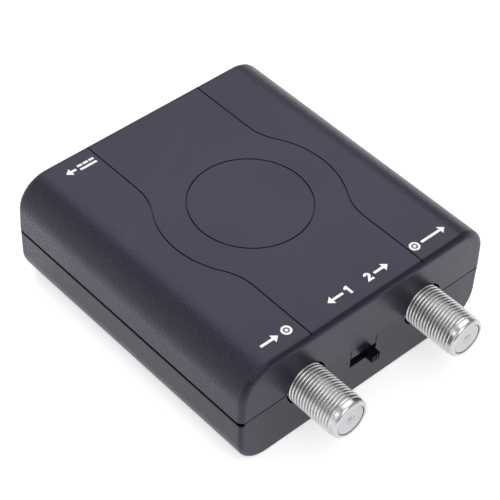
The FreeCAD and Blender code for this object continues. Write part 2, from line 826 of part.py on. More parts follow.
def build_socket(name, side):
    """A threaded socket: flanged barrel, insulating core and spring contact with its tail."""
    place = (socket_x * side, can_front, s.parting_height)
    tip = s.socket_set_back + s.wall + s.lower_step + s.socket_reach
    flange_rear = -s.can_sheet - s.socket_flange_thickness
    barrel = turned(name + "_barrel", [
        (s.socket_core_radius, flange_rear),
        (s.socket_flange_radius, flange_rear),
        (s.socket_flange_radius, -s.can_sheet),
        (s.thread_pitch_radius, -s.can_sheet),
        (s.thread_pitch_radius, tip - s.socket_reach + s.thread_start),
        (s.thread_radius, tip - s.socket_reach + s.thread_start),
        (s.thread_radius, tip - s.collar_length - s.thread_runout),
        (s.collar_radius, tip - s.collar_length),
        (s.collar_radius, tip - s.collar_chamfer),
        (s.collar_radius - s.collar_chamfer, tip),
        (s.socket_core_radius, tip),
    ], place, "front")
    node(barrel, name + "_connector")
    rear = flange_rear - s.socket_rear
    face = tip - s.socket_face_recess
    pocket_floor = face - s.socket_face_thickness
    core = turned(name + "_core", [
        (s.socket_contact_radius + s.lid_gap, rear),
        (s.socket_core_radius - s.lid_gap, rear),
        (s.socket_core_radius - s.lid_gap, face),
        (s.socket_contact_bore, face),
        (s.socket_contact_bore, pocket_floor),
        (s.socket_contact_radius + s.lid_gap, pocket_floor),
    ], place, "front")
    node(core, name + "_insulator")
    tail_y = can_front - rear + s.lead_width * 3 / 2
    clip = turned(name + "_clip", [
        (0, rear - s.lead_width * 2),
        (s.socket_contact_radius, rear - s.lead_width * 2),
        (s.socket_contact_radius, pocket_floor - s.lid_gap),
        (s.socket_contact_bore, pocket_floor - s.lid_gap),
        (s.socket_contact_bore, pocket_floor - s.socket_contact_depth),
        (0, pocket_floor - s.socket_contact_depth),
    ], place, "front")
    tail = lead(name + "_tail", socket_x * side, tail_y, s.parting_height)
    node(fused(name + "_contact_solid", clip, tail), name + "_contact")


def build_socket_fasteners():
    """Hexagon nut and plain washer that clamp each socket to the shield's front wall."""
    nuts = []
    washers = []
    bore = s.thread_pitch_radius + s.nut_gap
    for side in (-1, 1):
        washer_start = (socket_x * side, can_front, s.parting_height)
        disc = rod("washer_disc", s.washer_radius, washer_start, s.washer_thickness, "front")
        disc_bore = rod("washer_bore", bore, washer_start, s.washer_thickness, "front")
        washers.append(cut("washer", disc, disc_bore))
        nut_start = (socket_x * side, can_front - s.washer_thickness, s.parting_height)
        prism = doc.addObject("Part::Prism", "nut_prism")
        prism.Polygon = 6
        bind(prism, Circumradius=s.nut_across_flats / math.sqrt(3), Height=s.nut_thickness)
        prism.Placement = Placement(Vector(), TURN["front"])
        move_to(prism, *nut_start)
        nut_bore = rod("nut_bore", bore, nut_start, s.nut_thickness, "front")
        nuts.append(cut("nut", prism, nut_bore))
    node(grouped("nut_set", *nuts), "connector_nuts")
    node(grouped("washer_set", *washers), "connector_washers")


# Shield

def build_can():
    """Shield of folded sheet: four walls, a divider and solder tabs, with a lid that clips on."""
    outer = block("can_outer", (-can_half_width, can_half_width), (can_front, can_back),
                  (board_top, can_top))
    inner_y = (can_front + s.can_sheet, can_back - s.can_sheet)
    inner = block("can_inner", (-can_inner_half, can_inner_half), inner_y,
                  (board_top - s.can_sheet, can_top + s.can_sheet))
    walls = cut("can_walls", outer, inner)
    divider = block("can_divider_plate", around(s.can_divider, s.can_sheet), inner_y,
                    (board_top, can_top - s.wall))
    tabs = []
    for side in (-1, 1):
        for along in (can_front + s.can_tab_front, can_front + s.can_tab_rear):
            across = (can_half_width - s.can_sheet / 2) * side
            tabs.append(lead("can_tab", across, along, board_top + s.can_sheet, s.can_sheet))
    frame = fused("can_blank", walls, divider, *tabs)
    holes = []
    for side in (-1, 1):
        start = (socket_x * side, can_front - s.can_sheet, s.parting_height)
        holes.append(rod("can_hole", s.thread_pitch_radius + s.nut_gap, start, s.can_sheet * 3, "back"))
    node(cut("can_cut", frame, *holes), "can_frame")

    reach = s.lid_gap + s.lid_sheet
    lid_x = can_half_width + reach
    lid_y = (can_front - reach, can_back + reach)
    plate = block("lid_outer", (-lid_x, lid_x), lid_y, (lid_rim, can_top + s.lid_sheet))
    room_x = can_half_width + s.lid_gap
    room = block("lid_room", (-room_x, room_x), (can_front - s.lid_gap, can_back + s.lid_gap),
                 (lid_rim - s.wall, can_top))
    tools = [room]
    for index in range(LID_SLITS):
        across = s.lid_slit_pitch * (index - (LID_SLITS - 1) / 2)
        tools.append(block("lid_slit", around(across, s.lid_slit), (lid_y[0] - s.wall, lid_y[1] + s.wall),
                           (lid_rim - s.wall, can_top - s.lid_sheet)))
    for across, along in coil_places.values():
        start = (across, along, can_top - s.wall)
        tools.append(rod("tuning_hole", s.tuning_hole_radius, start, s.wall * 2))
    node(cut("lid_cut", plate, *tools), "can_lid")


# Parts on the board

def build_coils():
    """Screened coils: a square metal can with a slotted tuning core under its top hole."""
    top = board_top + s.coil_height
    core_top = top - s.coil_core_drop
    for name, (across, along) in coil_places.items():
        can = block(name + "_box", around(across, s.coil_width), around(along, s.coil_width),
                    (board_top, top))
        room_width = s.coil_width - s.coil_sheet * 2
        room = block(name + "_room", around(across, room_width), around(along, room_width),
                     (board_top - s.coil_sheet, top - s.coil_sheet))
        hole = rod(name + "_hole", s.coil_core_radius + s.coil_core_gap,
                   (across, along, top - s.coil_sheet * 2), s.coil_sheet * 3)
        node(cut(name + "_shell", can, room, hole), name + "_can")
        core = rod(name + "_slug", s.coil_core_radius, (across, along, board_top), core_top - board_top)
        slot = block(name + "_slot", around(across, s.coil_core_radius * 2),
                     around(along, s.coil_core_slot), (core_top - s.coil_core_slot * 2, top))
        node(cut(name + "_slug_cut", core, slot), name + "_core")


def build_chip():
    """Modulator circuit: flat package with bent legs along both long sides."""
    across = left_room
    along = can_front + s.chip_row
    low = board_top + s.chip_lift
    body = block("chip_body", around(across, s.chip_length), around(along, s.chip_width),
                 (low, low + s.chip_height))
    shoulder_low = board_top + s.chip_shoulder
    shoulder_top = shoulder_low + s.chip_leg_sheet
    legs = []
    for index in range(CHIP_LEGS):
        span = around(across + s.chip_pitch * (index - (CHIP_LEGS - 1) / 2), s.chip_leg_width)
        legs.append(block("chip_shoulder", span, around(along, s.chip_span - s.chip_foot * 2),
                          (shoulder_low, shoulder_top)))
        for side in (-1, 1):
            knee = along + (s.chip_span / 2 - s.chip_foot) * side
            toe = along + s.chip_span / 2 * side
            legs.append(block("chip_leg", span, around(knee, s.chip_leg_sheet), (board_top, shoulder_top)))
            legs.append(block("chip_foot", span, (knee, toe) if side > 0 else (toe, knee),
                              (board_top, board_top + s.chip_leg_sheet)))
    node(fused("chip_solid", body, *legs), "modulator_chip")


def build_crystal():
    """Crystal in its oval metal can with a base rim."""
    along = can_back - s.coil_row
    half = (s.crystal_length - s.crystal_width) / 2
    rim_top = board_top + s.crystal_rim_height
    layers = []
    for radius, low, high in (
            (s.crystal_width / 2 + s.crystal_rim, board_top, rim_top),
            (s.crystal_width / 2, rim_top, board_top + s.crystal_height)):
        for side in (-1, 1):
            start = (crystal_x + half * side, along, low)
            layers.append(rod("crystal_end", radius, start, high - low))
        layers.append(block("crystal_middle", around(crystal_x, half * 2), around(along, radius * 2),
                            (low, high)))
    node(fused("crystal_solid", *layers), "crystal")


def build_combiner():
    """Two-hole ferrite bead on which the aerial combiner is wound."""
    along = can_front + s.chip_row
    bead = block("bead", around(right_room, s.bead_length), around(along, s.bead_depth),
                 (board_top, board_top + s.bead_height))
    holes = []
    for side in (-1, 1):
        across = right_room + s.bead_length / 4 * side
        start = (across, along - s.bead_depth, board_top + s.bead_height / 2)
        holes.append(rod("bead_hole", s.bead_hole, start, s.bead_depth * 2, "back"))
    node(cut("bead_cut", bead, *holes), "combiner_core")


def standing_capacitor(name, radius, height, across):
    """A standing capacitor: a sleeve with a bevelled top, and two leads."""
    along = can_back + s.capacitor_row
    foot = board_top + s.capacitor_lift
    sleeve = turned(name + "_sleeve", [
        (0, 0),
        (radius, 0),
        (radius, height - s.capacitor_bevel),
        (radius - s.capacitor_bevel, height),
        (0, height),
    ], (across, along, foot))
    leads = [lead(name + "_lead", across + radius / 2 * side, along, foot + s.lead_gap) for side in (-1, 1)]
    return fused(name + "_solid", sleeve, *leads)


def build_power_row():
    """Diodes and standing capacitors, spread evenly between the rear board screws."""
    capacitors = [
        ("reservoir", s.reservoir_radius, s.reservoir_height),
        ("filter", s.filter_radius, s.filter_height),
    ]
    capacitors += [("coupling", s.coupling_radius, s.coupling_height) for place in jack_places]
    diode_span = s.diode_length + s.lead_width * 2
    room = (standoff_x - s.board_screw_head) * 2 - diode_span
    for name, radius, height in capacitors:
        room = room - radius * 2
    gap = room / (len(capacitors) + 2)
    left = s.board_screw_head - standoff_x + gap

    diodes = []
    for index in range(DIODES):
        along = can_back + s.diode_row + s.diode_pitch * index
        start = (left + s.lead_width, along, board_top + s.diode_lift)
        bead = rod("diode_bead", s.diode_radius, start, s.diode_length, "right")
        ends = (left + s.lead_width / 2, left + diode_span - s.lead_width / 2)
        leads = [lead("diode_lead", end, along, start[2] + s.lead_width / 2) for end in ends]
        diodes.append(fused("diode", bead, *leads))
    node(grouped("diode_set", *diodes), "rectifier_diodes")

    left = left + diode_span + gap
    coupling = []
    for name, radius, height in capacitors:
        solid = standing_capacitor(name, radius, height, left + radius)
        left = left + radius * 2 + gap
        if name == "coupling":
            coupling.append(solid)
        else:
            node(solid, name + "_capacitor")
    node(grouped("coupling_set", *coupling), "coupling_capacitors")


def build_regulator():
    """Voltage regulator: a small round package with one flat side, on three legs."""
    across = standoff_x - s.regulator_inset
    along = can_back + s.regulator_row
    low = board_top + s.regulator_stand
    column = rod("regulator_column", s.regulator_radius, (across, along, low), s.regulator_height)
    flat = block("regulator_flat", around(across, s.regulator_radius * 3),
                 (along + s.regulator_flat, along + s.regulator_radius * 2),
                 (board_top, low + s.regulator_height * 2))
    package = cut("regulator_package", column, flat)
    legs = []
    for index in (-1, 0, 1):
        legs.append(lead("regulator_leg", across + s.regulator_pitch * index, along, low + s.lead_width))
    node(fused("regulator_solid", package, *legs), "voltage_regulator")


def build_flat_parts():
    """Small resistors and capacitors soldered flat on the board."""
    rows = {
        "chip_resistors": (can_back + s.flat_resistor_row, s.flat_resistor_height),
        "chip_capacitors": (can_back - s.flat_capacitor_row, s.flat_capacitor_height),
    }
    for name, (along, height) in rows.items():
        parts = []
        for index in range(FLAT_PARTS):
            across = left_room + s.flat_part_pitch * (index - (FLAT_PARTS - 1) / 2)
            parts.append(block(name + "_part", around(across, s.flat_part_length),
                               around(along, s.flat_part_width), (board_top, board_top + height)))
        node(grouped(name + "_set", *parts), name)


# Channel switch

def build_switch():
    """Slide switch: folded frame, base with terminals, and the ribbed slider with its clip."""
    frame_front = front_inside + s.switch_front_gap
    frame_back = frame_front + s.switch_depth
    middle = s.knob_centre - s.knob_travel / 2
    inside_width = s.slider_width + s.knob_travel + s.knob_gap * 2
    inside_x = around(middle, inside_width)
    outside_x = around(middle, inside_width + s.switch_sheet * 2)
    frame_top = knob_level * 2 - board_top
    inside_z = (board_top + s.switch_sheet, frame_top - s.switch_sheet)
    shell = block("switch_shell", outside_x, (frame_front, frame_back), (board_top, frame_top))
    room = block("switch_room", inside_x, (frame_front + s.switch_sheet, frame_back + s.wall), inside_z)
    window = block("switch_window", around(middle, s.knob_width + s.knob_travel + s.knob_gap * 2),
                   (frame_front - s.wall, frame_front + s.wall),
                   around(knob_level, s.knob_height + s.knob_gap * 2))
    node(cut("switch_frame_cut", shell, room, window), "switch_frame")

    base_front = frame_back - s.switch_base_thickness
    plate = block("switch_plate", inside_x, (base_front, frame_back), inside_z)
    terminals = []
    windows = []
    for index in (-1, 0, 1):
        across = middle + s.terminal_pitch * index
        blade = lead("terminal_blade", across, frame_back + s.lead_width / 2, knob_level + s.lead_width)
        head_height = s.lead_width * 2
        head = block("terminal_head", around(across, s.lead_width), (base_front, frame_back),
                     around(knob_level, head_height))
        windows.append(block("terminal_window", around(across, s.lead_width + s.lid_gap * 2),
                             (base_front, frame_back), around(knob_level, head_height + s.lid_gap * 2)))
        terminals.append(fused("terminal", blade, head))
    node(cut("switch_plate_cut", plate, *windows), "switch_base")
    node(grouped("terminal_set", *terminals), "switch_terminals")

    slider_front = frame_front + s.switch_sheet + s.knob_gap
    slider_back = base_front - s.clip_depth - s.knob_gap
    slider_z = (inside_z[0] + s.knob_gap, inside_z[1] - s.knob_gap)
    carriage = block("slider_carriage", around(s.knob_centre, s.slider_width), (slider_front, slider_back),
                     slider_z)
    tip = front - s.knob_reach
    stem = block("slider_stem", around(s.knob_centre, s.knob_width), (tip, slider_front + s.switch_sheet),
                 around(knob_level, s.knob_height))
    knob_blank = fused("knob_blank", carriage, stem)
    pitch = s.knob_width / KNOB_RIBS
    grooves = []
    for index in range(1, KNOB_RIBS):
        across = s.knob_centre - s.knob_width / 2 + pitch * index
        grooves.append(block("knob_groove", around(across, pitch / 2),
                             (tip - s.wall, tip + s.knob_rib_depth),
                             around(knob_level, s.knob_height * 2)))
    node(cut("knob_cut", knob_blank, *grooves), "switch_knob")

    clip_z = around(knob_level, s.clip_height)
    clip_x = around(s.knob_centre, s.clip_width)
    bar = block("clip_bar", clip_x, (slider_back, slider_back + s.clip_depth), clip_z)
    cavity = block("clip_cavity", (clip_x[0] + s.clip_sheet, clip_x[1] - s.clip_sheet),
                   (slider_back + s.clip_sheet, slider_back + s.clip_depth - s.clip_sheet),
                   (clip_z[0] - s.clip_sheet, clip_z[1] + s.clip_sheet))
    node(cut("clip_cut", bar, cavity), "switch_clip")


# Back panel sockets

def build_phono_sockets():
    """Moulded block that carries three phono sockets side by side."""
    block_back = back_inside - s.jack_block_gap
    block_front = block_back - s.jack_block_depth
    left = jack_places["video"] - s.jack_block_side
    right = jack_places["audio_right"] + s.jack_block_side
    housing = block("jack_block", (left, right), (block_front, block_back),
                    (board_top, board_top + axis_above_board * 2))
    shell_seat = block_front + s.jack_web
    tools = []
    tip = back + s.jack_reach
    for name, place in jack_places.items():
        axis = (place, shell_seat, s.parting_height)
        tools.append(rod("shell_bore", s.jack_seat_radius + s.lid_gap, axis, s.jack_block_depth, "back"))
        hole_start = (place, block_front - s.wall, s.parting_height)
        tools.append(rod("contact_bore", s.jack_contact_radius + s.lid_gap, hole_start, s.wall * 3, "back"))
        length = tip - shell_seat
        node(turned(name + "_shell", [
            (s.jack_bore, 0),
            (s.jack_seat_radius, 0),
            (s.jack_seat_radius, length - s.jack_reach + s.thread_start),
            (s.jack_radius, length - s.jack_reach + s.thread_start),
            (s.jack_radius, length - s.jack_chamfer),
            (s.jack_radius - s.jack_chamfer / 2, length),
            (s.jack_bore, length),
        ], axis, "back"), name + "_jack_shell")
        face = length - s.jack_face_recess
        node(turned(name + "_core", [
            (s.jack_contact_radius + s.lid_gap, 0),
            (s.jack_bore - s.lid_gap, 0),
            (s.jack_bore - s.lid_gap, face),
            (s.jack_entry_radius, face),
            (s.jack_entry_radius, face - s.jack_contact_face),
            (s.jack_contact_radius + s.lid_gap, face - s.jack_contact_face),
        ], axis, "back"), name + "_jack_insert")
        rear = -s.jack_web - s.lead_width * 2
        sleeve_end = face - s.jack_contact_face - s.lid_gap
        sleeve = turned(name + "_sleeve", [
            (0, rear),
            (s.jack_contact_radius, rear),
            (s.jack_contact_radius, sleeve_end),
            (s.jack_entry_radius, sleeve_end),
            (s.jack_entry_radius, face - s.jack_entry_depth),
            (0, face - s.jack_entry_depth),
        ], axis, "back")
        tail = lead(name + "_tail", place, block_front - s.lead_width, s.parting_height)
        node(fused(name + "_contact_solid", sleeve, tail), name + "_jack_contact")
    node(cut("jack_block_cut", housing, *tools), "av_jack_housing")


def build_power_inlet():
    """Barrel inlet: housing with a round nose, centre pin and side leaf."""
    block_back = back_inside - s.jack_block_gap
    block_front = block_back - s.inlet_depth
    nose_tip = back - s.inlet_recess
    housing = block("inlet_block", around(inlet_x, s.inlet_width), (block_front, block_back),
                    (board_top, board_top + s.inlet_height))
    nose = rod("inlet_nose", s.inlet_nose_radius, (inlet_x, block_back - s.wall, s.parting_height),
               nose_tip - block_back + s.wall, "back")
    bore_floor = nose_tip - s.inlet_bore_depth
    bore = rod("inlet_bore", s.inlet_bore_radius, (inlet_x, bore_floor, s.parting_height),
               s.inlet_bore_depth + s.wall, "back")
    pin_bore = rod("inlet_pin_bore", s.inlet_shank_radius + s.lid_gap,
                   (inlet_x, block_front - s.wall, s.parting_height), s.inlet_depth, "back")
    leaf_low = s.parting_height - s.inlet_bore_radius - s.inlet_leaf_thickness * 2
    channel_x = around(inlet_x, s.inlet_leaf_width + s.lid_gap * 2)
    channel = block("inlet_channel", channel_x, (block_front - s.wall, bore_floor + s.inlet_bore_depth / 2),
                    (leaf_low - s.lid_gap, leaf_low + s.inlet_leaf_thickness * 4))
    node(cut("inlet_cut", fused("inlet_blank", housing, nose), bore, pin_bore, channel), "dc_jack_housing")
    pin_tip = bore_floor + s.inlet_pin_length
    tail_y = block_front - s.lead_width
    pin_start = (inlet_x, tail_y - s.lead_width / 2, s.parting_height)
    shank = rod("inlet_shank", s.inlet_shank_radius, pin_start, pin_tip - pin_start[1], "back")
    sleeve_start = (inlet_x, bore_floor, s.parting_height)
    sleeve = rod("inlet_pin_sleeve", s.inlet_pin_radius, sleeve_start, s.inlet_pin_length, "back")
    pin_tail = lead("inlet_pin_tail", inlet_x, tail_y, s.parting_height)
    node(fused("inlet_pin_solid", shank, sleeve, pin_tail), "dc_jack_pin")
    leaf_z = (leaf_low, leaf_low + s.inlet_leaf_thickness)
    leaf_end = bore_floor + s.inlet_bore_depth / 2 - s.lid_gap
    leaf = block("inlet_leaf", around(inlet_x, s.inlet_leaf_width),
                 (block_front - s.inlet_leaf_thickness, leaf_end), leaf_z)
    node(leaf, "dc_jack_spring")


def build_board():
    """Circuit board with corner notches round the pillars and a hole for every lead."""
    plate = block("board_plate", (-board_half_width, board_half_width),
                  (-board_half_depth, board_half_depth), (board_under, board_top))
    tools = []
    notch = s.pillar_radius + s.notch_gap
    low = board_under - s.wall
    height = s.board_thickness + s.wall * 2
    for across in (-1, 1):
        for along in (-1, 1):
            outer_x = (pillar_x + s.wall * 4) * across
            inner_x = (pillar_x - notch) * across
            outer_y = (pillar_y + s.wall * 4) * along
            inner_y = (pillar_y - notch) * along
            spans = []
            for inner, outer in ((inner_x, outer_x), (inner_y, outer_y)):
                spans.append((inner, outer) if inner.number < outer.number else (outer, inner))
            tools.append(block("board_notch", spans[0], spans[1], (low, low + height)))
    for side in (-1, 1):
        for along in standoff_rows:
            tools.append(rod("board_hole", s.board_hole_radius, (standoff_x * side, along, low), height))
    for across, along, width in lead_places:
        tools.append(block("lead_hole", around(across, width + s.lead_gap * 2),
                           around(along, s.lead_width + s.lead_gap * 2), (low, low + height)))
    node(cut("board_cut", plate, *tools), "main_board")


def check_and_export():
    """Stop if anything failed to build, then write one file for each piece."""
    doc.recompute()
    for item in doc.Objects:
        if "Invalid" in item.State or "Error" in item.State:
            raise RuntimeError(f"{item.Name} did not build: {item.State}")
    os.makedirs("parts", exist_ok=True)
    for item in nodes:
        shape = item.Shape
        if shape.isNull() or not shape.isValid() or not shape.Solids:
            raise RuntimeError(f"{item.Label} has no valid solid")
        shape.exportStep(f"parts/{item.Label}.step")
        print(f"{item.Label}: {len(shape.Solids)} solid(s), {shape.Volume:.1f} mm3")


build_top_cover()
build_bottom_cover()
build_case_screws()
build_board_screws()
build_socket("rf_in", -1)
build_socket("rf_out", 1)
build_socket_fasteners()
build_can()
build_coils()
build_chip()
build_crystal()
build_combiner()
build_switch()
build_phono_sockets()
build_power_inlet()
build_power_row()
build_regulator()
build_flat_parts()
build_board()
check_and_export()
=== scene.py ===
import json
import math

import bmesh
import bpy
from mathutils import Matrix, Vector


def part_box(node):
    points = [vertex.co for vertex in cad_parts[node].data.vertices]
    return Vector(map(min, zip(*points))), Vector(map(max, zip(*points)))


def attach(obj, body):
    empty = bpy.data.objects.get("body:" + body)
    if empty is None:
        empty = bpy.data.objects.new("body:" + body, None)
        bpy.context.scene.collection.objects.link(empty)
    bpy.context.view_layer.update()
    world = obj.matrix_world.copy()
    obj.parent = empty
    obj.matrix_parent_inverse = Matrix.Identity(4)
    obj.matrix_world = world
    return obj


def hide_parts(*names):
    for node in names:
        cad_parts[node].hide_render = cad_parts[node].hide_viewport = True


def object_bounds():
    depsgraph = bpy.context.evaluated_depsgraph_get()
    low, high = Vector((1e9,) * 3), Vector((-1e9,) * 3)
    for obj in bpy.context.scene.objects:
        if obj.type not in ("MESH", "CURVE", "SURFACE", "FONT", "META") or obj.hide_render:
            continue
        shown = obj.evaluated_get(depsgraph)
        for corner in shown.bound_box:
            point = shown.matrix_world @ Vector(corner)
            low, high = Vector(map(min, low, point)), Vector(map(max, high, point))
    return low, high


# A small rf modulator on a white table: matte dark case, two threaded aerial sockets and a channel
# switch in front, phono sockets and a power inlet behind. Lengths of the object are in millimetres,
# and MM turns them into the frame's metres.

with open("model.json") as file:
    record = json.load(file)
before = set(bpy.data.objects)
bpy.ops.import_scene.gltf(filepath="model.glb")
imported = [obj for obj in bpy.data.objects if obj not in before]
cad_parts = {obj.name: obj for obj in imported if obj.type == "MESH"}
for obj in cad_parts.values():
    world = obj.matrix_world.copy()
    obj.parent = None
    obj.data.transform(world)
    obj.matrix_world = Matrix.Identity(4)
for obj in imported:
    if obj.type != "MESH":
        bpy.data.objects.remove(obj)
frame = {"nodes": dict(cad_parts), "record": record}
cad_low, cad_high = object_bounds()
nodes = frame["nodes"]
mounts = {row["name"]: row for row in frame["record"]["mounts"]}
slot_of = {row["node"]: row["material_slot"] for row in frame["record"]["subparts"]}
MM = 0.001
ROOF_Z = round(cad_high.z / MM, 3)


def reach(node):
    """Where a node starts and ends in front of the frame's middle."""
    low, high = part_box(node)
    return round(-high.y / MM, 3), round(-low.y / MM, 3)


# Camera, fitted to the outlines of the case and both barrels in the photograph

AZIMUTH = math.radians(-44.063)
ELEVATION = math.radians(45.421)
ROLL = math.radians(2.949)
DISTANCE = 0.39890
TARGET = Vector((0.004005, 0.003535, 0.007548))
FOCAL_PIXELS = 1837.48
FRAME_PIXELS = 500
SENSOR_WIDTH = 36.0

back_way = Vector((math.sin(AZIMUTH) * math.cos(ELEVATION),
                   -math.cos(AZIMUTH) * math.cos(ELEVATION),
                   math.sin(ELEVATION)))
level_right = (-back_way).cross(Vector((0, 0, 1))).normalized()
level_up = level_right.cross(-back_way)
right_way = level_right * math.cos(ROLL) + level_up * math.sin(ROLL)
up_way = -level_right * math.sin(ROLL) + level_up * math.cos(ROLL)
camera_data = bpy.data.cameras.new("camera")
camera_data.sensor_width = SENSOR_WIDTH
camera_data.lens = FOCAL_PIXELS * SENSOR_WIDTH / FRAME_PIXELS
camera_data.clip_start = 0.01
camera_data.clip_end = 20.0
camera = bpy.data.objects.new("camera", camera_data)
bpy.context.scene.collection.objects.link(camera)
turn = Matrix((right_way, up_way, back_way)).transposed().to_4x4()
camera.matrix_world = Matrix.Translation(TARGET + back_way * DISTANCE) @ turn
bpy.context.scene.camera = camera


# Node trees

class Nodes:
    """The node tree of a new material or world, with short calls for the nodes in it."""

    def __init__(self, owner):
        owner.use_nodes = True
        self.tree = owner.node_tree

    def fill(self, item, inputs):
        """Gives some of a node's inputs a number, a colour or another node's output."""
        for name, value in inputs.items():
            if isinstance(value, bpy.types.NodeSocket):
                self.tree.links.new(value, item.inputs[name])
            else:
                item.inputs[name].default_value = value
        return item

    def new(self, kind, inputs=None, **settings):
        item = self.tree.nodes.new(kind)
        for name, value in settings.items():
            setattr(item, name, value)
        return self.fill(item, inputs or {})

    def math(self, operation, *values):
        item = self.new("ShaderNodeMath", dict(enumerate(values)), operation=operation)
        return item.outputs["Value"]

    def scaled(self, vector, factor):
        """A vector or colour times a number."""
        item = self.new("ShaderNodeVectorMath", {0: vector, "Scale": factor}, operation="SCALE")
        return item.outputs["Vector"]

    def spread(self, value, low, high, start=0.3, end=0.7, **settings):
        """A value's range from start to end mapped onto low to high."""
        limits = {"From Min": start, "From Max": end, "To Min": low, "To Max": high}
        item = self.new("ShaderNodeMapRange", {"Value": value, **limits}, **settings)
        return item.outputs["Result"]

    def ramp(self, value, stops):
        """A colour by a value, through stops of place and colour."""
        item = self.new("ShaderNodeValToRGB", {"Fac": value})
        elements = item.color_ramp.elements
        while len(elements) < len(stops):
            elements.new(0.5)
        for element, (place, colour) in zip(elements, stops):
            element.position = place
            element.color = (*colour, 1)
        return item.outputs["Color"]


class Finish(Nodes):
    """A material of the object, in the object's own coordinates in millimetres."""

    def __init__(self, name):
        self.material = bpy.data.materials.new(name)
        super().__init__(self.material)
        self.shader = self.tree.nodes["Principled BSDF"]
        self.place = self.scaled(self.new("ShaderNodeTexCoord").outputs["Object"], 1 / MM)

    def stretched(self, scale):
        """The object's coordinates, stretched along the axes."""
        item = self.new("ShaderNodeMapping", {"Vector": self.place, "Scale": scale})
        return item.outputs["Vector"]

    def noise(self, scale, detail=2.0, roughness=0.5, place=None):
        """Soft noise with a scale per millimetre."""
        item = self.new("ShaderNodeTexNoise", {"Vector": place or self.place, "Scale": scale,
                                               "Detail": detail, "Roughness": roughness})
        return item.outputs["Fac"]

    def shades(self, value, dark, light):
        """A colour between two shades by a noise value."""
        return self.ramp(value, ((0.3, dark), (0.7, light)))

    def bump(self, height, depth, strength=1.0, below=None):
        """Relief of a depth in millimetres, alone or on top of another."""
        item = self.new("ShaderNodeBump", {"Height": height, "Distance": depth * MM,
                                           "Strength": strength})
        if below is not None:
            self.fill(item, {"Normal": below})
        return item.outputs["Normal"]


# Materials

def shade(colour, factor):
    return tuple(min(1.0, channel * factor) for channel in colour)


def moulded(name, colour, roughness, grain=3.0, depth=0.006, mottle=0.08, gloss=0.5):
    """Injection-moulded plastic: faint mottling, fine moulding grain, uneven roughness."""
    n = Finish(name)
    patches = n.noise(scale=0.12, detail=3.0)
    texture = n.noise(grain, detail=3.0, roughness=0.6)
    n.fill(n.shader, {
        "Base Color": n.shades(patches, shade(colour, 1 - mottle), shade(colour, 1 + mottle)),
        "Roughness": n.spread(texture, roughness - 0.06, roughness + 0.06),
        "Specular IOR Level": gloss,
        "Normal": n.bump(texture, depth)})
    return n.material


def metal(name, colour, roughness, stretch=(1, 1, 1)):
    """Plated or bare metal with fine working marks along one direction, and faint stains."""
    n = Finish(name)
    marks = n.noise(scale=2.5, detail=4.0, roughness=0.65, place=n.stretched(stretch))
    stains = n.noise(scale=0.35)
    n.fill(n.shader, {
        "Metallic": 1.0,
        "Base Color": n.shades(stains, shade(colour, 0.9), colour),
        "Roughness": n.spread(marks, roughness * 0.7, roughness * 1.3),
        "Normal": n.bump(marks, depth=0.002)})
    return n.material


def solder_resist(name, colour):
    """Circuit board: resist over a pattern of copper tracks."""
    n = Finish(name)
    tracks = n.new("ShaderNodeTexBrick", {
        "Vector": n.place, "Scale": 0.35, "Mortar Size": 0.07, "Mortar Smooth": 0.3,
        "Brick Width": 1.3, "Row Height": 0.5, "Color1": (*shade(colour, 1.1), 1),
        "Color2": (*shade(colour, 0.8), 1), "Mortar": (*shade(colour, 1.6), 1)})
    n.fill(n.shader, {
        "Base Color": tracks.outputs["Color"],
        "Roughness": n.spread(n.noise(scale=2.0), 0.22, 0.36),
        "Normal": n.bump(tracks.outputs["Fac"], depth=0.03, strength=0.5)})
    return n.material


# Painted shade on the case, darker where shadow falls in its recesses: the parting line's lower lip
# along the long sides, the parting line at the two ends, and the ring groove. Each has the level that
# is left there, and its limits: a distance of case_distances, with its inner and its outer edge.
PAINTED_SHADE_LINES = (
    (0.12, (("up", 13.12, 13.04), ("up", 13.50, 14.00), ("aside", 32.90, 32.60))),
    (0.45, (("up", 13.96, 13.90), ("up", 14.22, 14.26), ("ahead", 35.10, 35.00))),
    (0.55, (("up", 26.75, 26.95), ("around", 14.00, 14.30))))


def case_distances(n):
    """How far a point lies from the frame's middle: to a side, to an end, in plan, and up."""
    axes = n.new("ShaderNodeSeparateXYZ", {"Vector": n.place}).outputs
    squares = [n.math("MULTIPLY", axes[axis], axes[axis]) for axis in "XY"]
    return {"aside": n.math("ABSOLUTE", axes["X"]), "ahead": n.math("ABSOLUTE", axes["Y"]),
            "around": n.math("SQRT", n.math("ADD", *squares)), "up": axes["Z"]}


def painted_line_shade(n, distances):
    """Painted shade: 1 on the open faces of the case, and less along its lines."""
    left = 1.0
    for least, limits in PAINTED_SHADE_LINES:
        outside = 0.0
        for distance, inner, outer in limits:
            past = n.spread(distances[distance], 0.0, 1.0, inner, outer)
            outside = n.math("MAXIMUM", outside, past)
        left = n.math("MULTIPLY", left, n.spread(outside, least, 1.0, 0.0, 1.0))
    return left


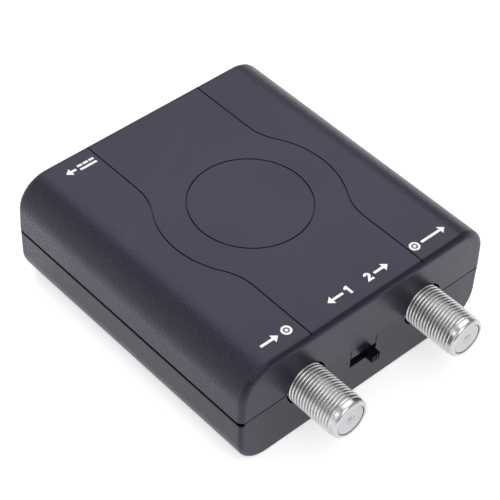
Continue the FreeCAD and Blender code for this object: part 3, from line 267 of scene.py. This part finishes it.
def spark_eroded(name, colour, gloss):
    """Textured black housing: a fine pebbled surface, matte, with a soft bluish sheen."""
    n = Finish(name)
    distances = case_distances(n)
    # Painted shade along the parting lines and in the ring groove darkens the colour and the gloss
    # there
    left = painted_line_shade(n, distances)
    mottle = n.noise(scale=3.4, detail=2.0, roughness=0.6)
    # The texture is shallower on the roof than on the rounded long edges and the sides
    strength = n.spread(distances["aside"], 0.14, 0.9, 25.5, 30.0)
    cells = n.new("ShaderNodeTexVoronoi", {"Vector": n.place, "Scale": 2.8}).outputs["Distance"]
    pebbles = n.bump(cells, 0.09, strength)
    grain = n.noise(scale=6.5, detail=3.0, roughness=0.6)
    n.fill(n.shader, {
        "Base Color": n.scaled(n.shades(mottle, shade(colour, 0.93), shade(colour, 1.07)), left),
        "Roughness": n.spread(n.noise(scale=0.05, detail=3.0), 0.25, 0.31),
        "IOR": 1.45,
        "Specular IOR Level": gloss,
        "Specular Tint": (0.68, 0.66, 1.0, 1),
        "Sheen Weight": 0.04,
        "Sheen Roughness": 0.5,
        "Sheen Tint": (0.25, 0.22, 1.0, 1),
        "Normal": n.bump(grain, 0.03, strength, below=pebbles)})
    # The export keeps the plain level above; only the render also dulls the lines
    # Painted shade: the gloss is lowered along the same lines
    n.fill(n.shader, {"Specular IOR Level": n.spread(left, 0.0, gloss, 0.0, 1.0)})
    return n.material


CASE_GREY = (0.0105, 0.0098, 0.0125)
materials = {
    "case_abs": spark_eroded("case_plastic", CASE_GREY, gloss=0.51),
    "nickel": metal("nickel_plate", (0.58, 0.58, 0.585), 0.27, stretch=(1, 4, 1)),
    "insulator": moulded("white_insulator", (0.69, 0.685, 0.72), 0.34),
    "contact_metal": metal("contact_metal", (0.78, 0.66, 0.40), 0.25),
    "steel_screw": metal("zinc_plated_steel", (0.45, 0.45, 0.47), 0.3),
    "tinplate": metal("tinplate", (0.70, 0.71, 0.72), 0.32, stretch=(0.3, 3, 1)),
    "board": solder_resist("board_resist", (0.02, 0.16, 0.05)),
    "black_plastic": moulded("black_moulding", (0.004, 0.004, 0.0045), 0.34, gloss=0.15),
    "phenolic": moulded("phenolic_sheet", (0.26, 0.13, 0.05), 0.5, grain=1.5, depth=0.01, mottle=0.2),
    "video_yellow": moulded("yellow_moulding", (0.80, 0.52, 0.02), 0.34),
    "audio_white": moulded("white_moulding", (0.78, 0.78, 0.75), 0.34),
    "audio_red": moulded("red_moulding", (0.50, 0.02, 0.02), 0.34),
    "ferrite": moulded("ferrite", (0.04, 0.04, 0.045), 0.55, grain=4.0, depth=0.012),
    "chip_epoxy": moulded("chip_epoxy", (0.02, 0.02, 0.02), 0.5, grain=5.0, depth=0.01),
    "crystal_can": metal("crystal_can", (0.74, 0.74, 0.74), 0.2, stretch=(1, 1, 3)),
    "capacitor_sleeve": moulded("capacitor_sleeve", (0.02, 0.03, 0.09), 0.25, grain=1.0, depth=0.01),
    "diode_epoxy": moulded("diode_epoxy", (0.03, 0.03, 0.03), 0.45),
    "chip_ceramic": moulded("chip_ceramic", (0.42, 0.29, 0.17), 0.5),
}
# The lower half takes a duller copy of the case's material: painted shade that makes it darker than
# the upper one
lower_case_painted_shade = spark_eroded("case_plastic_lower_painted_shade", CASE_GREY, gloss=0.43)


def dress(item, material):
    item.data.materials.clear()
    item.data.materials.append(material)


for name, item in nodes.items():
    dress(item, lower_case_painted_shade if name == "bottom_cover" else materials[slot_of[name]])


# Meshes

WELD_DISTANCE = 1e-8


def link_mesh(name, points, faces, sharp_angle):
    """A welded, smooth-shaded mesh that keeps the edges sharper than an angle in degrees."""
    mesh = bpy.data.meshes.new(name)
    mesh.from_pydata([(x * MM, y * MM, z * MM) for x, y, z in points], [], faces)
    solid = bmesh.new()
    solid.from_mesh(mesh)
    bmesh.ops.remove_doubles(solid, verts=solid.verts, dist=WELD_DISTANCE)
    bmesh.ops.recalc_face_normals(solid, faces=solid.faces)
    solid.to_mesh(mesh)
    solid.free()
    mesh.shade_smooth()
    mesh.set_sharp_from_angle(angle=math.radians(sharp_angle))
    item = bpy.data.objects.new(name, mesh)
    bpy.context.scene.collection.objects.link(item)
    return item


# Threaded barrels and their insulators

BARREL_BACK, BARREL_FRONT = reach("rf_out_connector")
INSULATOR_BACK, INSULATOR_FACE = reach("rf_out_insulator")
# The photograph's barrels end a little short of the solids
TIP = BARREL_FRONT - 0.15
THREAD_PITCH = 0.794
THREAD_DEPTH = 0.33
THREAD_CREST = mounts["rf_out_thread"]["dims"]["r_mm"]
THREAD_START = reach("top_cover")[1] - 1.40
THREAD_END = TIP - 1.70
THREAD_STEPS = 12
CREST_ROUNDNESS = 2.2
BARREL_SIDES = 96

# Radii of the barrel beside its thread, and of the insulator
COLLAR = 4.56
LIP = 4.08
MOUTH = 3.64
BORE = 3.52
NECK = 4.5
FLANGE = 5.6
INSULATOR = 3.45
FUNNEL = 1.20
HOLE = 0.60
CONTACT_BORE = 1.15
# Lengths along the barrel and the insulator
SHOULDER = 0.15
TIP_ROUND = 0.72
MOUTH_DEPTH = 0.50
FLANGE_THICKNESS = 1.0
INSULATOR_CHAMFER = 0.06
FUNNEL_DEPTH = 0.70
INSULATOR_WALL = 1.60
# A second ring this close to a corner keeps the corner's shading from spreading
RING_GAP = 0.03


def soft_round(along, length, radius, depth, steps=6, softness=1.65):
    """A turn from along the barrel to across it: a quarter of an oval, flatter than an ellipse."""
    turns = [math.pi / 2 * step / steps for step in range(steps + 1)]
    return [(along + length * math.sin(turn) ** (2 / softness),
             radius - depth + depth * math.cos(turn) ** (2 / softness)) for turn in turns]


# Each barrel from its thread's end round the tip and through the bore to the flange in the shield,
# as distances in front of the middle and radii
BARREL_PROFILE = (
    (THREAD_END, THREAD_CREST), (THREAD_END + 0.10, COLLAR + 0.04),
    (THREAD_END + SHOULDER, COLLAR), (THREAD_END + SHOULDER + RING_GAP, COLLAR),
    (TIP - TIP_ROUND - RING_GAP, COLLAR),
    *soft_round(TIP - TIP_ROUND, TIP_ROUND, COLLAR, COLLAR - LIP),
    (TIP, MOUTH + 0.06), (TIP - 0.05, MOUTH),
    (TIP - MOUTH_DEPTH, MOUTH - 0.02), (TIP - MOUTH_DEPTH - 0.02, BORE),
    (BARREL_BACK, BORE), (BARREL_BACK, FLANGE), (BARREL_BACK + FLANGE_THICKNESS, FLANGE),
    (BARREL_BACK + FLANGE_THICKNESS, NECK), (THREAD_START, NECK), (THREAD_START, THREAD_CREST))
# Each insulator with the funnel that leads a plug's centre conductor in
INSULATOR_PROFILE = (
    (INSULATOR_BACK, CONTACT_BORE), (INSULATOR_BACK, INSULATOR),
    (INSULATOR_FACE - INSULATOR_CHAMFER, INSULATOR), (INSULATOR_FACE, INSULATOR - INSULATOR_CHAMFER),
    (INSULATOR_FACE, FUNNEL), (INSULATOR_FACE - 0.25, FUNNEL - 0.18),
    (INSULATOR_FACE - 0.50, HOLE + 0.04), (INSULATOR_FACE - FUNNEL_DEPTH, HOLE),
    (INSULATOR_FACE - INSULATOR_WALL, HOLE), (INSULATOR_FACE - INSULATOR_WALL, CONTACT_BORE),
    (INSULATOR_BACK, CONTACT_BORE))


def on_barrel(axis, along, radius, side):
    """A point of a turned piece on an axis (x, z), at a distance in front of the middle."""
    angle = math.tau * side / BARREL_SIDES
    return axis[0] + radius * math.cos(angle), -along, axis[1] + radius * math.sin(angle)


def turned(axis, profile):
    """Points and faces of a turned surface along a profile of distances and radii."""
    points = [on_barrel(axis, along, radius, side)
              for along, radius in profile for side in range(BARREL_SIDES)]
    faces = []
    for ring in range(len(profile) - 1):
        first = ring * BARREL_SIDES
        for side in range(BARREL_SIDES):
            here, other = first + side, first + (side + 1) % BARREL_SIDES
            faces.append((here, here + BARREL_SIDES, other + BARREL_SIDES, other))
    return points, faces


def thread_radius(step, fade):
    """The thread's radius at a step of its pitch from a crest; fade 1 leaves its full depth."""
    below_crest = (2 * min(step, THREAD_STEPS - step) / THREAD_STEPS) ** CREST_ROUNDNESS
    return THREAD_CREST - THREAD_DEPTH * below_crest * fade


def thread(axis):
    """Points and faces of a right-hand thread, which fades out where it runs out at either end."""
    turns = math.ceil((THREAD_END - THREAD_START) / THREAD_PITCH) + 3
    rings = turns * THREAD_STEPS
    points, places = [], []
    for ring in range(rings):
        for side in range(BARREL_SIDES):
            pitches = ring / THREAD_STEPS - 1 + side / BARREL_SIDES
            along = min(THREAD_END, max(THREAD_START, THREAD_START + THREAD_PITCH * pitches))
            # It fades over a whole pitch inside the case, and over half of one at the tip
            fade = min(1.0, (along - THREAD_START) / THREAD_PITCH,
                       (THREAD_END - along) / (THREAD_PITCH / 2))
            points.append(on_barrel(axis, along, thread_radius(ring % THREAD_STEPS, fade), side))
            places.append(along)
    faces = []
    for ring in range(rings - THREAD_STEPS - 1):
        for side in range(BARREL_SIDES):
            here = ring * BARREL_SIDES + side
            last = side + 1 == BARREL_SIDES
            other = (ring + THREAD_STEPS) * BARREL_SIDES if last else here + 1
            face = (here, here + BARREL_SIDES, other + BARREL_SIDES, other)
            if len({places[corner] for corner in face}) > 1:
                faces.append(face)
    return points, faces


def put_turned(name, slot, node, *surfaces):
    """A turned piece of one or more surfaces, in the place of a CAD node."""
    points, faces = [], []
    for more_points, more_faces in surfaces:
        faces.extend(tuple(corner + len(points) for corner in face) for face in more_faces)
        points.extend(more_points)
    piece = link_mesh(name, points, faces, sharp_angle=38)
    dress(piece, materials[slot])
    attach(piece, "case")
    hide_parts(node)


for name in ("rf_in", "rf_out"):
    x, _, z = mounts[name + "_thread"]["pos_m"]
    axis = (x / MM, z / MM)
    put_turned(name + "_threaded_barrel", "nickel", name + "_connector",
               turned(axis, BARREL_PROFILE), thread(axis))
    put_turned(name + "_insulator_core", "insulator", name + "_insulator",
               turned(axis, INSULATOR_PROFILE))


# Printed marks, as outlines on the roof in a row along its front edge and one along its back edge

# How far the ink stands proud, and each row's place as its readers see it, from the middle down
INK = 0.02
FRONT_ROW = -31.0
BACK_ROW = -30.9
# Sizes that several marks share
ARROW_HALF_WIDTH = 0.30
ARROW_HEAD = 1.35
ARROW_HEAD_HALF_WIDTH = 1.10
FIGURE_HEIGHT = 2.3
FIGURE_LINE = 0.58


def bar(x, y, width, height):
    return [(x, y), (x + width, y), (x + width, y + height), (x, y + height)]


def arrow(x, y, length, way=1):
    """An arrow with its tail at x, centred on y, pointing to the right or the left."""
    neck = length - ARROW_HEAD
    half = [(0, -ARROW_HALF_WIDTH), (neck, -ARROW_HALF_WIDTH), (neck, -ARROW_HEAD_HALF_WIDTH)]
    shape = half + [(length, 0)] + [(px, -py) for px, py in reversed(half)]
    shape = [(x + px * way, y + py) for px, py in shape]
    return shape if way > 0 else shape[::-1]


def arc(x, y, radius, start, end, steps):
    """Points of an arc between two angles in degrees."""
    angles = [math.radians(start + (end - start) * step / steps) for step in range(steps + 1)]
    return [(x + radius * math.cos(angle), y + radius * math.sin(angle)) for angle in angles]


def band(path, width):
    """Quads along a path of points, with mitred corners."""
    sides = []
    for i, (x, y) in enumerate(path):
        ways = []
        for a, b in ((i - 1, i), (i, i + 1)):
            if a >= 0 and b < len(path):
                step = Vector((path[b][0] - path[a][0], path[b][1] - path[a][1])).normalized()
                ways.append(Vector((-step.y, step.x)))
        out = (ways[0] + ways[-1]).normalized()
        half = width / 2 / max(0.5, out.dot(ways[0]))
        sides.append(((x + out.x * half, y + out.y * half), (x - out.x * half, y - out.y * half)))
    return [[a[1], b[1], b[0], a[0]] for a, b in zip(sides, sides[1:])]


def figure_one(x, y):
    """The plain number 1: a stem with a slanting flag."""
    flag, stem = 0.45, 0.60
    return [[(x, y + 1.45), (x + flag, y + 1.55), (x + flag, y), (x + flag + stem, y),
             (x + flag + stem, y + FIGURE_HEIGHT), (x + 0.60, y + FIGURE_HEIGHT), (x, y + 1.95)]]


def figure_two(x, y):
    """The plain number 2: a bow, a slanting stroke and a foot."""
    foot = y + FIGURE_LINE / 2
    path = arc(x + 0.8, y + 1.52, 0.49, 170, -35, 12) + [(x + 0.32, foot), (x + 1.60, foot)]
    return band(path, FIGURE_LINE)


def socket_sign(x, y):
    """Ring round a dot, the mark of a coaxial socket."""
    return band(arc(x, y, 0.95, 0, 360, 36), 0.50) + [arc(x, y, 0.38, 0, 360, 28)[:-1]]


def direct_current_sign(x, y):
    """A line over three dashes."""
    width, line, dash, dashes = 4.3, 0.6, 1.25, 3
    step = (width - dash) / (dashes - 1)
    return ([bar(x, y + 0.30, width, line)]
            + [bar(x + step * i, y - 0.85, dash, line) for i in range(dashes)])


def print_mark(name, shapes, from_back=False):
    """Flat shapes of ink, slightly sunk in the roof, read from the front or from the back."""
    points, faces = [], []
    for shape in shapes:
        first = len(points)
        count = len(shape)
        for z in (ROOF_Z - INK / 2, ROOF_Z + INK):
            points.extend((-x, -y, z) if from_back else (x, y, z) for x, y in shape)
        faces.append(tuple(range(first + count, first + count * 2)))
        faces.append(tuple(reversed(range(first, first + count))))
        for i in range(count):
            j = (i + 1) % count
            faces.append((first + i, first + j, first + count + j, first + count + i))
    mark = link_mesh(name, points, faces, sharp_angle=20)
    dress(mark, ink)
    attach(mark, "case")


ink = moulded("white_ink", (0.90, 0.90, 0.90), 0.5, grain=5.0, depth=0.002, mottle=0.03)
figure_foot = FRONT_ROW - FIGURE_HEIGHT / 2
print_mark("mark_in", [arrow(-25.3, FRONT_ROW, 4.6)] + socket_sign(-18.5, FRONT_ROW))
print_mark("mark_out", socket_sign(17.1, FRONT_ROW) + [arrow(19.0, FRONT_ROW, 6.8)])
print_mark("mark_first", [arrow(-3.2, FRONT_ROW, 4.2, way=-1)] + figure_one(-2.4, figure_foot))
print_mark("mark_second", figure_two(3.0, figure_foot) + [arrow(5.4, FRONT_ROW, 3.9)])
print_mark("mark_power", direct_current_sign(16.5, BACK_ROW) + [arrow(21.5, BACK_ROW - 0.02, 2.6)],
           from_back=True)


# Floor

FLOOR_HALF = 3.0
FLOOR_GREY = 0.75
FLOOR_GLOW = 0.57


def seen_share(n):
    """1 for rays from the camera, a reflection or a clear piece, 0 for light on its way."""
    rays = n.new("ShaderNodeLightPath").outputs
    seen = n.math("MAXIMUM", rays["Is Camera Ray"], rays["Is Glossy Ray"])
    return n.math("MAXIMUM", seen, rays["Is Transmission Ray"])


def white_floor():
    """Pale matte floor that shows white to the camera, and keeps the object's shadow."""
    material = bpy.data.materials.new("floor_white")
    n = Nodes(material)
    n.fill(n.tree.nodes["Principled BSDF"], {
        "Base Color": (FLOOR_GREY, FLOOR_GREY, FLOOR_GREY, 1),
        "Roughness": 0.9,
        "Specular IOR Level": 0.0,
        "Emission Color": (1, 1, 1, 1),
        "Emission Strength": n.math("MULTIPLY", seen_share(n), FLOOR_GLOW)})
    return material


floor_mesh = bpy.data.meshes.new("floor")
corners = [(x * FLOOR_HALF, y * FLOOR_HALF, 0) for x, y in ((-1, -1), (1, -1), (1, 1), (-1, 1))]
floor_mesh.from_pydata(corners, [], [(0, 1, 2, 3)])
floor_mesh.materials.append(white_floor())
floor = bpy.data.objects.new("floor", floor_mesh)
bpy.context.scene.collection.objects.link(floor)


# Light of the room and the lamps

# The room's level by the height of a way, from the horizon to straight above
ROOM_LEVELS = ((0.0, 1.0), (0.12, 0.95), (0.35, 0.66), (0.6, 0.60), (0.8, 0.40))
# Where the room differs from that: a way, the cosines of the angles to it where the change starts
# and where it is whole, and the factor. The room is darker low behind the camera and in a small
# place beyond the right-hand side, and lighter round the camera and high behind the left side.
ROOM_CHANGES = (
    ((-0.695, -0.718, 0.0), 0.82, 0.95, 0.25),
    ((0.90, 0.20, 0.38), 0.92, 0.98, 0.15),
    ((-0.58, -0.52, 0.63), 0.75, 0.95, 1.35),
    ((-0.60, 0.50, 0.62), 0.85, 0.97, 1.4))
# Square lamps, with their place and side in metres and their power in watts
LAMPS = (
    ("key", (0.236, 0.332, 0.770), 0.80, 3.42),
    ("side", (-0.640, 0.450, 0.440), 0.34, 0.68),
    ("fill", (-0.180, -0.450, 0.756), 0.6, 2.1))
LAMP_AIM = Vector((0, 0, 0.01))


def studio():
    world = bpy.data.worlds.new("studio")
    n = Nodes(world)
    way = n.new("ShaderNodeTexCoord").outputs["Generated"]
    height = n.new("ShaderNodeSeparateXYZ", {"Vector": way}).outputs["Z"]
    level = n.ramp(height, [(place, (grey, grey, grey)) for place, grey in ROOM_LEVELS])
    for centre, start, end, factor in ROOM_CHANGES:
        nearness = n.new("ShaderNodeVectorMath", {0: way, 1: centre}, operation="DOT_PRODUCT")
        change = n.spread(nearness.outputs["Value"], 1.0, factor, start, end,
                          interpolation_type="SMOOTHSTEP")
        level = n.scaled(level, change)
    n.fill(n.tree.nodes["Background"], {"Color": level})
    return world


def softbox(name, place, side, power):
    lamp = bpy.data.lights.new(name, "AREA")
    lamp.size = side
    lamp.energy = power
    item = bpy.data.objects.new(name, lamp)
    bpy.context.scene.collection.objects.link(item)
    item.location = place
    item.rotation_mode = "QUATERNION"
    item.rotation_quaternion = (LAMP_AIM - Vector(place)).to_track_quat("-Z", "Y")


bpy.context.scene.world = studio()
for lamp in LAMPS:
    softbox(*lamp)
bpy.context.scene.view_settings.view_transform = "Standard"
